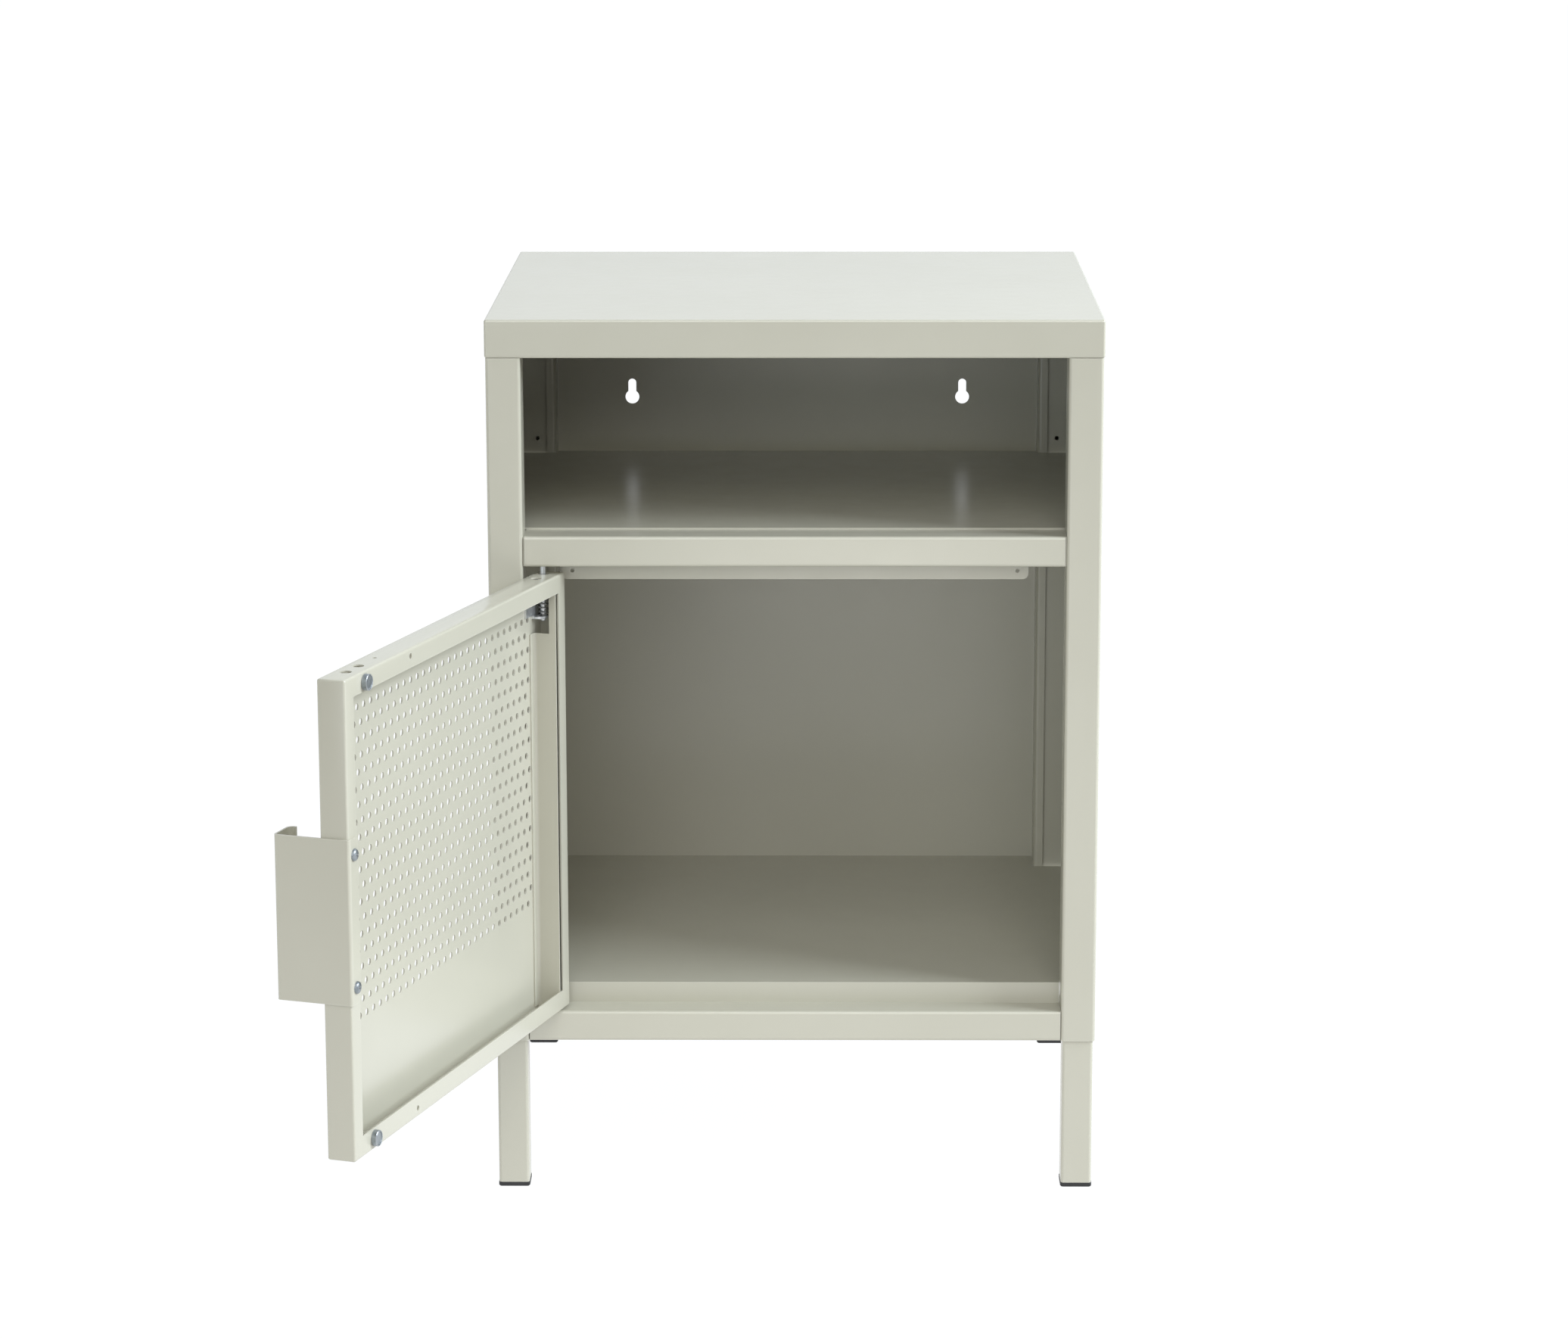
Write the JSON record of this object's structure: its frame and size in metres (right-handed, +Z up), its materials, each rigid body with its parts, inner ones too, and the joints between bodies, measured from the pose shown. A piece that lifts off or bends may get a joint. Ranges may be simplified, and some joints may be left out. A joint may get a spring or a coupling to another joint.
{
  "type": "locker cabinet",
  "caption": "Small folded-steel locker cabinet on square legs with an open upper bay and a lower bay closed by a perforated hinged door.",
  "frame": {"origin": "on the floor under the middle of the whole object's bounding box at rest, with the door open: 53 mm to the left of the cabinet's centre plane and 20 mm behind its front face", "axes": "+Z up, +Y from the open front towards the back panel, +X to the right as seen from the front"},
  "size_m": [0.505, 0.6797, 0.585],
  "materials": {
    "powder_coat": "warm light grey powder coat, smooth satin",
    "zinc_plate": "bright zinc plating",
    "spring_wire": "dark drawn spring wire",
    "glide_plastic": "black moulded plastic"
  },
  "bodies": {
    "cabinet": {"top_panel": "powder_coat", "left_side_panel": "powder_coat", "right_side_panel": "powder_coat", "back_panel": "powder_coat", "shelf": "powder_coat", "shelf_front_rail": "powder_coat", "strike_bar": "powder_coat", "floor_tray": "powder_coat", "bottom_front_rail": "powder_coat", "leg_front_left": "powder_coat", "leg_front_right": "powder_coat", "leg_rear_left": "powder_coat", "leg_rear_right": "powder_coat", "foot_front_left": "glide_plastic", "foot_front_right": "glide_plastic", "foot_rear_left": "glide_plastic", "foot_rear_right": "glide_plastic"},
    "door": {"door_panel": "powder_coat", "door_stiffener": "powder_coat", "hinge_bracket": "zinc_plate", "hinge_spring": "spring_wire", "bottom_hinge_pin": "zinc_plate", "handle": "powder_coat", "handle_screws": "zinc_plate", "handle_nuts": "zinc_plate", "door_magnet_top": "zinc_plate", "door_magnet_bottom": "zinc_plate"},
    "top_pin": {"top_hinge_pin": "zinc_plate", "pin_clip": "zinc_plate"}
  },
  "joints": [
    {"name": "door_hinge", "type": "hinge", "parent": "cabinet", "child": "door", "pos_m": [-0.1113, -0.0138, 0.27], "axis": [0, 0, -1], "range_deg": [-108.4, 15]},
    {"name": "pin_release", "type": "slide", "parent": "door", "child": "top_pin", "axis": [0, 0, -1], "range_m": [0, 0.007], "stiffness_N_per_m": 600, "springref_m": -0.006, "deforming": ["hinge_spring"]}
  ]
}
